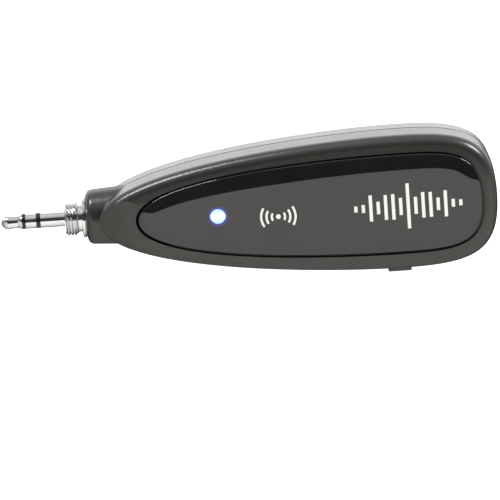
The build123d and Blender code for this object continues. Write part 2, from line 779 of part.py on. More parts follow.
def lead(route, diameter):
    """A lead along straight runs joined by arcs as large as the runs allow."""
    points = [Vector(*point) for point in route]
    bends = []
    for before, corner, after in zip(points, points[1:], points[2:]):
        turn = (corner - before).get_angle(after - corner)
        shorter = min((corner - before).length, (after - corner).length)
        bends.append(0.45 * shorter / tan(radians(turn / 2)))
    print("bend radii", [round(bend, 2) for bend in bends])
    path = FilletPolyline(*points, radius=bends)
    section = Plane(path @ 0, z_dir=path % 0) * Circle(diameter / 2)
    tube = sweep(section, path=path)
    print("volume against section times length", round(tube.volume / (section.area * path.length), 4))
    return tube


def battery_lead(side):
    """From the connector forwards, down in a loop and back to the cell's board."""
    y = 1.2 * side
    route = [
        (27.2, y, 0.1),
        (24.6, y, 0.2),
        (22.6, y * 1.1, -1.4),
        (22.4, y * 1.2, -3.8),
        (24.8, y * 1.3, -5.3),
        (30.0, y * 1.6, -5.2),
        (CELL_FRONT_X - 0.9, y * 2.0, -4.4),
    ]
    return lead(route, LEAD_DIAMETER)


def tip_lead():
    route = [(14.4, 0, 0), (16.3, 0, 0.3), (17.8, 0, 2.6), (19.8, 0, 3.5), (22.0, 0, 3.0)]
    return lead(route, SIGNAL_LEAD_DIAMETER)


def ring_lead():
    route = [(12.6, 0, 1.35), (14.8, 0.8, 1.7), (17.4, 1.7, 3.4), (19.8, 1.9, 3.7), (22.0, 1.9, 3.0)]
    return lead(route, SIGNAL_LEAD_DIAMETER)


def ground_lead():
    route = [
        (11.6, 0, -1.92),
        (13.9, -0.9, -2.0),
        (16.3, -1.9, -1.0),
        (17.7, -2.2, 1.5),
        (19.4, -2.2, 3.4),
        (22.0, -2.2, 3.0),
    ]
    return lead(route, SIGNAL_LEAD_DIAMETER)


# ---- Output ----------------------------------------------------------------------

def save(name, shape):
    """Write one sub-part, a single solid or a group of separate solids."""
    if isinstance(shape, list):
        solids = [solid for piece in shape for solid in piece.solids()]
        shape = Compound(children=solids)
    export_step(shape, f"parts/{name}.step")


def main():
    os.makedirs("parts", exist_ok=True)
    save("top_shell", top_shell())
    save("bottom_shell", bottom_shell())
    save("face_panel", face_panel())
    save("panel_adhesive", panel_adhesive())
    save("light_pipe", light_pipe())
    save("case_screws", case_screws())
    save("board_screws", board_screws())

    save("plug_tip", plug_tip())
    save("plug_insulator_front", insulator(TIP_BACK_X, RING_FRONT_X, ROD_RADIUS, TIP_TUBE_RADIUS, 12.0))
    save("plug_ring", plug_ring())
    rear_insulator = insulator(RING_BACK_X, SLEEVE_FRONT_X, RING_TUBE_RADIUS, REAR_TUBE_RADIUS, 10.2)
    save("plug_insulator_rear", rear_insulator)
    save("plug_sleeve", plug_sleeve())
    save("threaded_collar", threaded_collar())

    save("main_board", main_board())
    save("shield_can", shield_can())
    save("radio_chip", chip(79.5, 6.5, 5.0, 5.0, 0.9))
    save("radio_crystal", chip(75.6, 4.0, 2.5, 2.0, 0.7))
    save("chip_antenna", chip(91.6, 0, 2.0, 9.0, 1.2))
    save("controller_chip", leaded_chip(64.0, 4.6, 6.0, 1.2, 8))
    save("audio_converter_chip", leaded_chip(42.5, 0.0, 4.4, 1.0, 6))
    save("charging_chip", leaded_chip(61.6, -4.8, 3.0, 1.0, 4))
    save("power_inductor", inductor())
    save("tantalum_capacitors", tantalum_capacitors())
    save("ceramic_capacitors", ceramic_capacitors())
    save("chip_resistors", chip_resistors())
    save("status_light", chip(LIGHT_X, 0, 1.6, 1.2, 0.9))

    save("socket_shell", socket_shell())
    save("socket_tongue", socket_tongue())
    save("socket_contacts", socket_contacts())

    save("power_knob", power_knob())
    save("switch_lever", switch_lever())
    save("switch_wiper", switch_wiper())
    save("switch_frame", switch_frame())
    save("switch_base", switch_base())
    save("switch_terminals", switch_terminals())

    save("battery_cell", battery_cell())
    save("battery_pad", battery_pad())
    save("protection_board", protection_board())
    save("battery_header", battery_header())
    save("battery_connector", battery_connector())
    save("battery_lead_red", battery_lead(1))
    save("battery_lead_black", battery_lead(-1))
    save("tip_lead", tip_lead())
    save("ring_lead", ring_lead())
    save("ground_lead", ground_lead())


main()
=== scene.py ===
import math

import bmesh
import bpy
from mathutils import Matrix, Vector


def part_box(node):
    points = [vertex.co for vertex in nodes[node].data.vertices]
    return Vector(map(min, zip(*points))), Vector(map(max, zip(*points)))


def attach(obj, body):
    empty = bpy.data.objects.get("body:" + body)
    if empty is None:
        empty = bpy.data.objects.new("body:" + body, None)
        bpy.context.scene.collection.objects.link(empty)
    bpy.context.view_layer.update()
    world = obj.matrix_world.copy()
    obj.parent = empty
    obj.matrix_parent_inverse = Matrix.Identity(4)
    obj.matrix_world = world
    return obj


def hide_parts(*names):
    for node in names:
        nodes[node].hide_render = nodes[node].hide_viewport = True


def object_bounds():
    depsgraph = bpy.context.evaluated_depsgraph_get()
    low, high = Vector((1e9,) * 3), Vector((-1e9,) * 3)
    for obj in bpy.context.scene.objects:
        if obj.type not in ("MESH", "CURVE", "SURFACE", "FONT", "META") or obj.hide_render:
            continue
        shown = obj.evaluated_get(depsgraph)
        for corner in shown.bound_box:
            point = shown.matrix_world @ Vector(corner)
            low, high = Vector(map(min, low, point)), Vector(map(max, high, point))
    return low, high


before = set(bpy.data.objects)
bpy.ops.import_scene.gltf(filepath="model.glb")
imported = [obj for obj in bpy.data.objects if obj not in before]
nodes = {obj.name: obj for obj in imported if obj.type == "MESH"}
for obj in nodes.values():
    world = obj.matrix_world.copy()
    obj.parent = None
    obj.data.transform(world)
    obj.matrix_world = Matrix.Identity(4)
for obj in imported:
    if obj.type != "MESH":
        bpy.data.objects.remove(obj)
cad_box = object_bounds()

MM = 0.001


# ---- Camera: nearly overhead, leaning to the far side, as in the photograph ----

CAMERA_DISTANCE = 1.1
CAMERA_TILT = math.radians(12.38)
CAMERA_ROLL = math.radians(3.97)
VIEW_WIDTH = 114.08 * MM
SENSOR_WIDTH = 36.0
AIM = Vector((45 * MM, 0, 0))
AIM_IN_VIEW = (2.727 * MM, 10.30 * MM)


def make_camera():
    data = bpy.data.cameras.new("camera")
    data.sensor_width = SENSOR_WIDTH
    data.lens = SENSOR_WIDTH * CAMERA_DISTANCE / VIEW_WIDTH
    data.clip_start = 0.05
    data.clip_end = 50
    camera = bpy.data.objects.new("camera", data)
    turn = Matrix.Rotation(-CAMERA_TILT, 4, "X") @ Matrix.Rotation(-CAMERA_ROLL, 4, "Z")
    step_back = Matrix.Translation((-AIM_IN_VIEW[0], -AIM_IN_VIEW[1], CAMERA_DISTANCE))
    camera.matrix_world = Matrix.Translation(AIM) @ turn @ step_back
    bpy.context.scene.collection.objects.link(camera)
    bpy.context.scene.camera = camera


# ---- Helpers for node trees: one class for any tree, and one for what all finishes share ----

NOISE_RANGE = (0.3, 0.7)
PRINT_EDGE = 0.02 * MM


def dimmed(colour, level):
    return tuple(level * c for c in colour)


def set_stops(ramp, stops):
    elements = ramp.color_ramp.elements
    while len(elements) < len(stops):
        elements.new(0.5)
    for element, (place, colour) in zip(elements, stops):
        element.position = place
        element.color = (*colour, 1.0)


class NodeTree:
    """Adds shader nodes to one tree, with their inputs already linked."""

    def __init__(self, tree):
        self.tree = tree

    def node(self, kind, **links):
        made = self.tree.nodes.new(kind)
        for name, source in links.items():
            self.tree.links.new(source, made.inputs[name])
        return made

    def ranged(self, source, low, high, to_low=0.0, to_high=1.0):
        """source, with low to high stretched to to_low to to_high, and held there outside."""
        stretched = self.node("ShaderNodeMapRange", Value=source)
        stretched.inputs["From Min"].default_value = low
        stretched.inputs["From Max"].default_value = high
        stretched.inputs["To Min"].default_value = to_low
        stretched.inputs["To Max"].default_value = to_high
        return stretched.outputs[0]

    def maths(self, operation, first, second=0.0):
        """first and second, each a socket or a number, put through one arithmetic operation."""
        worked = self.node("ShaderNodeMath")
        worked.operation = operation
        for socket, value in zip(worked.inputs, (first, second)):
            if isinstance(value, (int, float)):
                socket.default_value = value
            else:
                self.tree.links.new(value, socket)
        return worked.outputs[0]

    def mix(self, under, factor, over):
        """The colour under, giving way to the flat colour over as factor goes from 0 to 1."""
        mixed = self.node("ShaderNodeMix")
        mixed.data_type = "RGBA"
        # The sockets of each data type have the same names, so they are found by number.
        factor_socket, under_socket, over_socket = mixed.inputs[0], mixed.inputs[6], mixed.inputs[7]
        self.tree.links.new(factor, factor_socket)
        self.tree.links.new(under, under_socket)
        over_socket.default_value = (*over, 1.0)
        return mixed.outputs[2]


class Finish(NodeTree):
    """A Principled material with textures in the object's own coordinates, whose sizes are in metres."""

    def __init__(self, name, colour, roughness):
        self.material = bpy.data.materials.new(name)
        self.material.use_nodes = True
        super().__init__(self.material.node_tree)
        self.shader = self.tree.nodes["Principled BSDF"]
        self.place = self.node("ShaderNodeTexCoord").outputs["Object"]
        self.flat("Base Color", (*colour, 1.0))
        self.flat("Roughness", roughness)

    def flat(self, socket, value):
        """Sets a socket of the shader to one value everywhere."""
        self.shader.inputs[socket].default_value = value

    def varied(self, socket, source):
        """Links a socket of the shader to a value that varies over the surface."""
        self.tree.links.new(source, self.shader.inputs[socket])

    def scaled_place(self, size, stretch=(1, 1, 1)):
        mapping = self.node("ShaderNodeMapping", Vector=self.place)
        mapping.inputs["Scale"].default_value = [1 / (size * s) for s in stretch]
        return mapping.outputs[0]

    def noise(self, size, stretch=(1, 1, 1), detail=2.0):
        """Soft random pattern from 0 to 1 whose blotches are about as large as size."""
        texture = self.node("ShaderNodeTexNoise", Vector=self.scaled_place(size, stretch))
        texture.inputs["Scale"].default_value = 1.0
        texture.inputs["Detail"].default_value = detail
        return texture.outputs[0]

    def spots(self, size, stretch=(1, 1, 1)):
        """Distance from the nearest of many scattered points."""
        texture = self.node("ShaderNodeTexVoronoi", Vector=self.scaled_place(size, stretch))
        texture.inputs["Scale"].default_value = 1.0
        return texture.outputs["Distance"]

    def along(self, axis):
        return self.node("ShaderNodeSeparateXYZ", Vector=self.place).outputs[axis]

    def distance_to(self, point, axes=(1, 1, 1)):
        """Distance from a point, with the offset along each axis first multiplied by its factor."""
        offset = self.node("ShaderNodeVectorMath", Vector=self.place)
        offset.operation = "SUBTRACT"
        offset.inputs[1].default_value = point
        kept = self.node("ShaderNodeVectorMath", Vector=offset.outputs[0])
        kept.operation = "MULTIPLY"
        kept.inputs[1].default_value = axes
        length = self.node("ShaderNodeVectorMath", Vector=kept.outputs[0])
        length.operation = "LENGTH"
        return length.outputs["Value"]

    def near(self, source, value, reach):
        """1 where source is within reach of value, 0 elsewhere, with a crisp printed edge."""
        apart = self.maths("ABSOLUTE", self.maths("SUBTRACT", source, value))
        return self.ranged(apart, reach + PRINT_EDGE, reach - PRINT_EDGE)

    def all_of(self, *masks):
        together = masks[0]
        for mask in masks[1:]:
            together = self.maths("MULTIPLY", together, mask)
        return together

    def any_of(self, *masks):
        together = masks[0]
        for mask in masks[1:]:
            together = self.maths("MAXIMUM", together, mask)
        return together

    def colours(self, source, *stops):
        """Colours picked by source, from stops of (place, colour)."""
        ramp = self.node("ShaderNodeValToRGB", Fac=source)
        set_stops(ramp, stops)
        return ramp.outputs[0]

    def mottle(self, size, darker, lighter):
        """Base colour in soft blotches between two colours."""
        low, high = NOISE_RANGE
        blotches = self.colours(self.noise(size), (low, darker), (high, lighter))
        self.varied("Base Color", blotches)
        return blotches

    def layer(self, under, factor, over):
        """Base colour under, with the flat colour over on it as far as factor says."""
        self.varied("Base Color", self.mix(under, factor, over))

    def paint_shade_black(self, factor):
        """Painted shade: no light comes back from where factor is 1."""
        base = self.shader.inputs["Base Color"]
        self.layer(base.links[0].from_socket, factor, (0.0, 0.0, 0.0))
        self.varied("Metallic", factor)

    def roughen(self, size, low, high, detail=2.0):
        """Roughness in soft blotches from low to high."""
        self.varied("Roughness", self.ranged(self.noise(size, detail=detail), *NOISE_RANGE, low, high))

    def bump(self, source, depth):
        """Relief of that depth, on top of any relief already there."""
        normal_socket = self.shader.inputs["Normal"]
        below = normal_socket.links[0].from_socket if normal_socket.links else None
        relief = self.node("ShaderNodeBump", Height=source)
        relief.inputs["Distance"].default_value = depth
        relief.inputs["Strength"].default_value = 1.0
        if below:
            self.tree.links.new(below, relief.inputs["Normal"])
        self.tree.links.new(relief.outputs[0], normal_socket)


# ---- Studio: a white tent with a dark gap from overhead to the far side, and a pale glowing floor ----

TENT_STRENGTH = 1.4
NEAR_CLOTH = (1.0, 0.97, 0.925)
FAR_CLOTH = (1.0, 1.0, 0.99)
# (angle, brightness, cloth), with angles in degrees from overhead towards the far side
TENT_BANDS = (
    (-180, 0.03, NEAR_CLOTH),
    (-141, 0.08, NEAR_CLOTH),
    (-127, 0.21, NEAR_CLOTH),
    (-111, 0.36, NEAR_CLOTH),
    (-96, 0.56, NEAR_CLOTH),
    (-80, 0.72, NEAR_CLOTH),
    (-60, 0.88, NEAR_CLOTH),
    (-35, 0.96, NEAR_CLOTH),
    (-10.3, 1.0, NEAR_CLOTH),
    (-10.1, 0.04, FAR_CLOTH),
    (32, 0.04, FAR_CLOTH),
    (44, 0.40, FAR_CLOTH),
    (60, 0.50, FAR_CLOTH),
    (84, 0.65, FAR_CLOTH),
    (96, 0.50, FAR_CLOTH),
    (116, 0.55, FAR_CLOTH),
    (134, 1.26, FAR_CLOTH),
    (180, 1.33, FAR_CLOTH),
)
GAP_EDGE = math.radians(-10.2)
GAP_EDGE_SOFTNESS = math.radians(0.1)
GAP_SLANT_LEFT = math.radians(40)
GAP_SLANT_RIGHT = math.radians(7)
COVER_START = math.radians(-12)
TENT_ENDS = (0.80, 0.97)
END_CLOTH = (0.42, 0.41, 0.40)
LEFT_SHADE = (-0.5, -0.2)
LEFT_DIMMING = 0.72
FLOOR_SIZE = 6.0
FLOOR_GAP = 0.02 * MM
FLOOR_GLOW_NEAR = 0.75
FLOOR_GLOW_FAR = 1.6
FLOOR_GLOW_REACH = 12 * MM
WINDOW_WIDTH = 0.42
WINDOW_HEIGHT = 0.14
# name: (place in metres, power in watts)
WINDOWS = {
    "window_left": ((-0.35, 0.88, 0.20), 4.8),
    "window_right": ((0.80, 0.67, 0.28), 8.0),
}


def tent_world():
    """The tent's sides by the angle round the object's length, between two ends of plain cloth.

    The tent is dimmer on the left.
    """
    world = bpy.data.worlds.new("tent")
    bpy.context.scene.world = world
    world.use_nodes = True
    sky = NodeTree(world.node_tree)
    direction = sky.node("ShaderNodeTexCoord").outputs["Generated"]
    parts = sky.node("ShaderNodeSeparateXYZ", Vector=direction)
    x = parts.outputs["X"]
    angle = sky.maths("ARCTAN2", parts.outputs["Y"], parts.outputs["Z"])
    at_an_end = sky.ranged(sky.maths("ABSOLUTE", x), *TENT_ENDS)
    cloth = sky.mix(tent_sides(sky, angle, x), at_an_end, END_CLOTH)
    shade = sky.ranged(x, *LEFT_SHADE, LEFT_DIMMING * TENT_STRENGTH, TENT_STRENGTH)
    background = world.node_tree.nodes["Background"]
    world.node_tree.links.new(cloth, background.inputs["Color"])
    world.node_tree.links.new(shade, background.inputs["Strength"])


def tent_sides(sky, angle, x):
    """The near cloth reaches further over the object towards both its ends.

    So the dark gap overhead has slanting edges there.
    """
    ramp = sky.node("ShaderNodeValToRGB", Fac=sky.ranged(angle, -math.pi, math.pi))
    set_stops(ramp, [((turn + 180) / 360, dimmed(cloth, level)) for turn, level, cloth in TENT_BANDS])
    leftward = sky.maths("MULTIPLY", x, -GAP_SLANT_LEFT)
    rightward = sky.maths("MULTIPLY", x, GAP_SLANT_RIGHT)
    slanted = sky.maths("SUBTRACT", angle, sky.maths("MAXIMUM", leftward, rightward))
    covered = sky.ranged(slanted, GAP_EDGE + GAP_EDGE_SOFTNESS, GAP_EDGE - GAP_EDGE_SOFTNESS)
    overhead = sky.maths("GREATER_THAN", angle, COVER_START)
    return sky.mix(ramp.outputs[0], sky.maths("MULTIPLY", covered, overhead), NEAR_CLOTH)


def window(name, place, power):
    """A wide, low soft light that faces the middle of the object."""
    data = bpy.data.lights.new(name, "AREA")
    data.shape = "RECTANGLE"
    data.size = WINDOW_WIDTH
    data.size_y = WINDOW_HEIGHT
    data.energy = power
    light = bpy.data.objects.new(name, data)
    light.location = place
    light.rotation_euler = (AIM - Vector(place)).to_track_quat("-Z", "Y").to_euler()
    bpy.context.scene.collection.objects.link(light)


def floor_paper():
    """White paper that glows, more strongly on the far side."""
    paper = Finish("floor_paper", (0.86, 0.86, 0.85), 0.9)
    paper.flat("Emission Color", (1.0, 1.0, 1.0, 1.0))
    y = paper.along("Y")
    glow = paper.ranged(y, -FLOOR_GLOW_REACH, FLOOR_GLOW_REACH, FLOOR_GLOW_NEAR, FLOOR_GLOW_FAR)
    paper.varied("Emission Strength", glow)
    paper.bump(paper.noise(0.6 * MM), 0.01 * MM)
    return paper.material


def make_floor():
    mesh = bpy.data.meshes.new("floor")
    form = bmesh.new()
    bmesh.ops.create_grid(form, x_segments=8, y_segments=8, size=FLOOR_SIZE / 2)
    form.to_mesh(mesh)
    form.free()
    floor = bpy.data.objects.new("floor", mesh)
    floor.location = (AIM.x, 0, cad_box[0].z - FLOOR_GAP)
    bpy.context.scene.collection.objects.link(floor)
    mesh.materials.append(floor_paper())
    floor.visible_glossy = False


# ---- Sizes and places of the printed marks, the status light with its painted glow on the panel, and the painted shade in the groove at the panel's nose ----

GROOVE_NOSE = Vector((22.0, 0.0, 8.8)) * MM
GROOVE_REACH = 6.0 * MM
GROOVE_REACH_FADE = 0.3 * MM
GROOVE_DEPTH_FADE = 0.05 * MM
PRINT_COLOUR = (0.93, 0.93, 0.92)
LENS_RADIUS = 1.75 * MM
GLOW_RADIUS = 1.42 * LENS_RADIUS
STREAK_AXES = (0.4, 1, 0)
STREAK_FADE = (1.1 * MM, 0.4 * MM)
RADIO_PLACE = (48.5 * MM, -1.0 * MM)
RADIO_RADII = (1.5 * MM, 2.7 * MM, 3.9 * MM)
RADIO_OPENING = math.radians(33)
RADIO_OPENING_EDGE = 0.02
RADIO_STROKE = 0.5 * MM
RADIO_DOT = 0.55 * MM
WAVE_PLACE = (78.0 * MM, -0.6 * MM)
WAVE_PITCH = 1.7 * MM
WAVE_STROKE = 0.75 * MM
WAVE_SIDE_BARS = 7
WAVE_HALF_HEIGHT = 5.2 * MM
WAVE_LOWEST = 0.35
WAVE_UNEVENNESS = 1.9
LABEL_WALL_Y = -11 * MM
LABEL_WALL_FADE = 0.1 * MM
LABEL_Z = 3.8 * MM
LABEL_STROKE = 0.28 * MM
CHARGE_LABEL_X = 55.3 * MM
CHARGE_LINE_OFFSET = 0.4 * MM
CHARGE_HALF_LENGTH = 1.6 * MM
CHARGE_DASH_PITCH = 1.2 * MM
CHARGE_DASH_HALF_LENGTH = 0.38 * MM
ON_LABEL_X = 68.3 * MM
ON_HALF_LENGTH = 0.8 * MM
OFF_LABEL_X = 80.8 * MM
OFF_RADIUS = 0.7 * MM


def lens_place():
    """The middle of the light pipe's top."""
    low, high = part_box("light_pipe")
    return Vector(((low.x + high.x) / 2, (low.y + high.y) / 2, high.z))


def charge_label(finish, x, z):
    """The symbol for direct current, upright: a solid line beside a dashed one."""
    stroke = LABEL_STROKE / 2
    solid = finish.near(x, CHARGE_LABEL_X + CHARGE_LINE_OFFSET, stroke)
    from_dash = finish.maths("PINGPONG", finish.maths("SUBTRACT", z, LABEL_Z), CHARGE_DASH_PITCH / 2)
    dashed = finish.all_of(
        finish.near(x, CHARGE_LABEL_X - CHARGE_LINE_OFFSET, stroke),
        finish.near(from_dash, 0, CHARGE_DASH_HALF_LENGTH),
    )
    return finish.all_of(finish.any_of(solid, dashed), finish.near(z, LABEL_Z, CHARGE_HALF_LENGTH))


def side_labels(finish):
    """Generic symbols beside the socket and the switch: direct current, on and off."""
    x = finish.along("X")
    z = finish.along("Z")
    stroke = LABEL_STROKE / 2
    on = finish.all_of(finish.near(x, ON_LABEL_X, ON_HALF_LENGTH), finish.near(z, LABEL_Z, stroke))
    from_off = finish.distance_to(Vector((OFF_LABEL_X, 0, LABEL_Z)), (1, 0, 1))
    off = finish.near(from_off, OFF_RADIUS, stroke)
    on_near_side = finish.ranged(finish.along("Y"), LABEL_WALL_Y, LABEL_WALL_Y - LABEL_WALL_FADE)
    return finish.all_of(finish.any_of(charge_label(finish, x, z), on, off), on_near_side)


def radio_mark(finish, place):
    """Generic transmitting mark: a dot with arcs to its left and right."""
    offset_x = finish.maths("ABSOLUTE", finish.maths("SUBTRACT", finish.along("X"), place.x))
    offset_y = finish.maths("ABSOLUTE", finish.maths("SUBTRACT", finish.along("Y"), place.y))
    bearing = finish.maths("ARCTAN2", offset_y, offset_x)
    distance = finish.distance_to(place, (1, 1, 0))
    widest, narrowest = RADIO_OPENING + RADIO_OPENING_EDGE, RADIO_OPENING - RADIO_OPENING_EDGE
    to_a_side = finish.ranged(bearing, widest, narrowest)
    arcs = finish.any_of(*[finish.near(distance, radius, RADIO_STROKE / 2) for radius in RADIO_RADII])
    return finish.any_of(finish.near(distance, 0, RADIO_DOT), finish.all_of(arcs, to_a_side))


def wave_mark(finish, place):
    """Generic sound-level mark: a row of upright bars of uneven height, tallest in the middle."""
    offset_x = finish.maths("SUBTRACT", finish.along("X"), place.x)
    from_bar = finish.maths("PINGPONG", offset_x, WAVE_PITCH / 2)
    bar = finish.maths("ROUND", finish.maths("DIVIDE", offset_x, WAVE_PITCH))
    swing = finish.maths("ABSOLUTE", finish.maths("SINE", finish.maths("MULTIPLY", bar, WAVE_UNEVENNESS)))
    taper = finish.maths("DIVIDE", finish.maths("ABSOLUTE", bar), WAVE_SIDE_BARS + 1)
    fall = finish.maths("SUBTRACT", 1.0, finish.maths("MULTIPLY", taper, taper))
    level = finish.maths("MULTIPLY", fall, finish.ranged(swing, 0, 1, 1.0, WAVE_LOWEST))
    height = finish.maths("MULTIPLY", level, WAVE_HALF_HEIGHT)
    offset_y = finish.maths("ABSOLUTE", finish.maths("SUBTRACT", finish.along("Y"), place.y))
    inside = finish.ranged(finish.maths("SUBTRACT", offset_y, height), PRINT_EDGE, -PRINT_EDGE)
    reach = (WAVE_SIDE_BARS + 0.5) * WAVE_PITCH
    stroke = finish.near(from_bar, 0, WAVE_STROKE / 2)
    return finish.all_of(stroke, inside, finish.near(offset_x, 0, reach))


# ---- Finishes: one function for each material, named after its slot ----

NICKEL = (0.73, 0.735, 0.745)


def groove_shade_mask(finish):
    """Mask of the painted shade: 1 in a round column at the panel's nose, from the groove there down to
    the underside.
    """
    from_nose = finish.distance_to(GROOVE_NOSE, (1, 1, 0))
    return finish.all_of(
        finish.ranged(from_nose, GROOVE_REACH + GROOVE_REACH_FADE, GROOVE_REACH),
        finish.ranged(finish.along("Z"), GROOVE_NOSE.z + GROOVE_DEPTH_FADE, GROOVE_NOSE.z),
    )


def housing_plastic():
    """Satin black ABS with the fine grain of a spark-eroded mould, and painted black shade in the groove
    at the panel's nose.
    """
    finish = Finish("satin_black_plastic", (0.022, 0.022, 0.020), 0.30)
    ground = finish.mottle(3 * MM, (0.0205, 0.0205, 0.0185), (0.0235, 0.0235, 0.0215))
    finish.layer(ground, side_labels(finish), PRINT_COLOUR)
    # Painted shade: black with no reflection, in a round column from the groove at the panel's nose down
    # to the underside.
    finish.paint_shade_black(groove_shade_mask(finish))
    finish.roughen(8 * MM, 0.23, 0.27)
    finish.flat("Specular IOR Level", 0.62)
    finish.bump(finish.noise(0.22 * MM, detail=3.0), 0.009 * MM)
    return finish.material


def gloss_panel():
    """Polished black acrylic with generic white marks, and a painted blue glow round the status light."""
    finish = Finish("polished_black_acrylic", (0.008, 0.008, 0.008), 0.045)
    ground = finish.mottle(9 * MM, (0.006, 0.006, 0.0058), (0.010, 0.010, 0.0095))
    finish.roughen(6 * MM, 0.02, 0.035, detail=4.0)
    finish.flat("Specular IOR Level", 0.72)
    face_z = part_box("face_panel")[1].z
    radio = radio_mark(finish, Vector((*RADIO_PLACE, face_z)))
    wave = wave_mark(finish, Vector((*WAVE_PLACE, face_z)))
    finish.layer(ground, finish.any_of(radio, wave), PRINT_COLOUR)
    # Painted glow: the panel itself gives off blue light in a ring round the status light.
    glow = finish.colours(
        finish.ranged(finish.distance_to(lens_place()), LENS_RADIUS, GLOW_RADIUS),
        (0.0, (0.07, 0.045, 0.50)),
        (0.5, (0.03, 0.02, 0.27)),
        (1.0, (0.0, 0.0, 0.0)),
    )
    finish.varied("Emission Color", glow)
    finish.flat("Emission Strength", 0.6)
    return finish.material


def light_pipe_plastic():
    """Milky lens, pale cyan with a white streak across its middle and blue at its rim."""
    finish = Finish("lit_lens", (0.22, 0.55, 0.80), 0.25)
    lens = lens_place()
    glow = finish.colours(
        finish.ranged(finish.distance_to(lens), 0, LENS_RADIUS),
        (0.0, (0.50, 0.70, 1.0)),
        (0.74, (0.52, 0.64, 1.0)),
        (0.88, (0.38, 0.42, 1.0)),
        (1.0, (0.06, 0.04, 0.45)),
    )
    streak = finish.ranged(finish.distance_to(lens, STREAK_AXES), *STREAK_FADE)
    finish.varied("Emission Color", finish.mix(glow, streak, (0.85, 1.0, 1.0)))
    finish.flat("Emission Strength", 0.95)
    finish.bump(finish.noise(0.3 * MM), 0.01 * MM)
    return finish.material


def metal(name, colour, roughness, grain=0.15 * MM, depth=0.002 * MM, stretch=(1, 1, 1)):
    """Plated or rolled metal with a faint grain and uneven polish."""
    finish = Finish(name, colour, roughness)
    finish.flat("Metallic", 1.0)
    finish.mottle(2 * MM, dimmed(colour, 0.88), colour)
    finish.roughen(1.5 * MM, 0.8 * roughness, 1.3 * roughness)
    finish.bump(finish.noise(grain, stretch), depth)
    return finish.material


def screw_steel():
    return metal("zinc_plated_steel", (0.52, 0.52, 0.50), 0.32)


def plated_contact():
    return metal("nickel_plate_turned", NICKEL, 0.07, 0.06 * MM, 0.0005 * MM, (1, 20, 20))


def plated_collar():
    return metal("nickel_plate_collar", NICKEL, 0.10, 0.08 * MM, 0.0006 * MM, (1, 20, 20))


def tinned_sheet():
    return metal("tinned_sheet", (0.62, 0.62, 0.60), 0.24, 0.1 * MM, 0.0015 * MM, (12, 1, 1))


def moulded(name, colour, roughness, grain=0.2 * MM, depth=0.004 * MM):
    """Moulded plastic with a fine grain and slightly uneven colour."""
    finish = Finish(name, colour, roughness)
    finish.mottle(1.2 * MM, dimmed(colour, 0.86), colour)
    finish.roughen(1.5 * MM, 0.85 * roughness, 1.15 * roughness)
    finish.bump(finish.noise(grain), depth)
    return finish.material


def plug_insulator():
    return moulded("black_acetal", (0.006, 0.006, 0.006), 0.22)


def chip_package():
    return moulded("chip_epoxy", (0.022, 0.022, 0.024), 0.55, 0.08 * MM, 0.006 * MM)


def ceramic():
    return moulded("fired_ceramic", (0.42, 0.31, 0.20), 0.42, 0.1 * MM, 0.004 * MM)


def ferrite():
    return moulded("pressed_ferrite", (0.045, 0.043, 0.042), 0.62, 0.12 * MM, 0.012 * MM)


def tantalum_case():
    return moulded("yellow_epoxy", (0.70, 0.42, 0.06), 0.45)


def connector_plastic():
    return moulded("black_nylon", (0.02, 0.02, 0.021), 0.42)


def white_connector():
    return moulded("cream_nylon", (0.74, 0.71, 0.62), 0.4)


def knob_plastic():
    """Charcoal plastic, smoother than the housing's."""
    finish = Finish("charcoal_knob", (0.022, 0.022, 0.021), 0.15)
    finish.mottle(1.0 * MM, (0.020, 0.020, 0.019), (0.024, 0.024, 0.023))
    finish.roughen(1.5 * MM, 0.13, 0.17)
    finish.flat("Specular IOR Level", 0.62)
    finish.bump(finish.noise(0.2 * MM, detail=3.0), 0.005 * MM)
    return finish.material


def adhesive_film():
    return moulded("tape_tissue", (0.55, 0.53, 0.47), 0.7, 0.15 * MM, 0.01 * MM)


def foam():
    finish = Finish("closed_cell_foam", (0.05, 0.05, 0.052), 0.9)
    cells = finish.spots(0.35 * MM)
    shades = finish.colours(cells, (0.1, (0.02, 0.02, 0.02)), (0.6, (0.07, 0.07, 0.072)))
    finish.varied("Base Color", shades)
    finish.bump(cells, 0.05 * MM)
    return finish.material


def cell_pouch():
    """Aluminium laminate, slightly wrinkled."""
    finish = Finish("aluminium_laminate", (0.66, 0.66, 0.67), 0.3)
    finish.flat("Metallic", 1.0)
    finish.mottle(4 * MM, (0.58, 0.58, 0.59), (0.70, 0.70, 0.71))
    finish.roughen(2 * MM, 0.24, 0.38)
    finish.bump(finish.noise(3 * MM, (1, 0.4, 1)), 0.05 * MM)
    finish.bump(finish.noise(0.2 * MM), 0.004 * MM)
    return finish.material


def circuit_board():
    """Green solder mask over routed copper, with bare tinned pads."""
    finish = Finish("solder_mask", (0.02, 0.14, 0.06), 0.32)
    routing = finish.noise(1.6 * MM, (2.5, 0.6, 1), detail=0.0)
    board = finish.colours(
        routing,
        (0.44, (0.010, 0.085, 0.035)),
        (0.47, (0.022, 0.16, 0.065)),
        (0.53, (0.022, 0.16, 0.065)),
        (0.56, (0.010, 0.085, 0.035)),
    )
    pads = finish.ranged(finish.spots(1.4 * MM), 0.16, 0.13)
    finish.layer(board, pads, (0.55, 0.52, 0.42))
    finish.bump(routing, 0.03 * MM)
    return finish.material


def insulation(name, colour):
    """Extruded soft PVC, faintly drawn along the wire."""
    finish = Finish(name, colour, 0.42)
    finish.flat("Subsurface Weight", 0.05)
    finish.mottle(0.8 * MM, dimmed(colour, 0.8), colour)
    finish.roughen(0.6 * MM, 0.36, 0.5)
    finish.bump(finish.noise(0.15 * MM, (6, 1, 1)), 0.003 * MM)
    return finish.material


def red_insulation():
    return insulation("red_wire", (0.55, 0.02, 0.015))


def black_insulation():
    return insulation("black_wire", (0.02, 0.02, 0.02))


def white_insulation():
    return insulation("white_wire", (0.75, 0.74, 0.70))


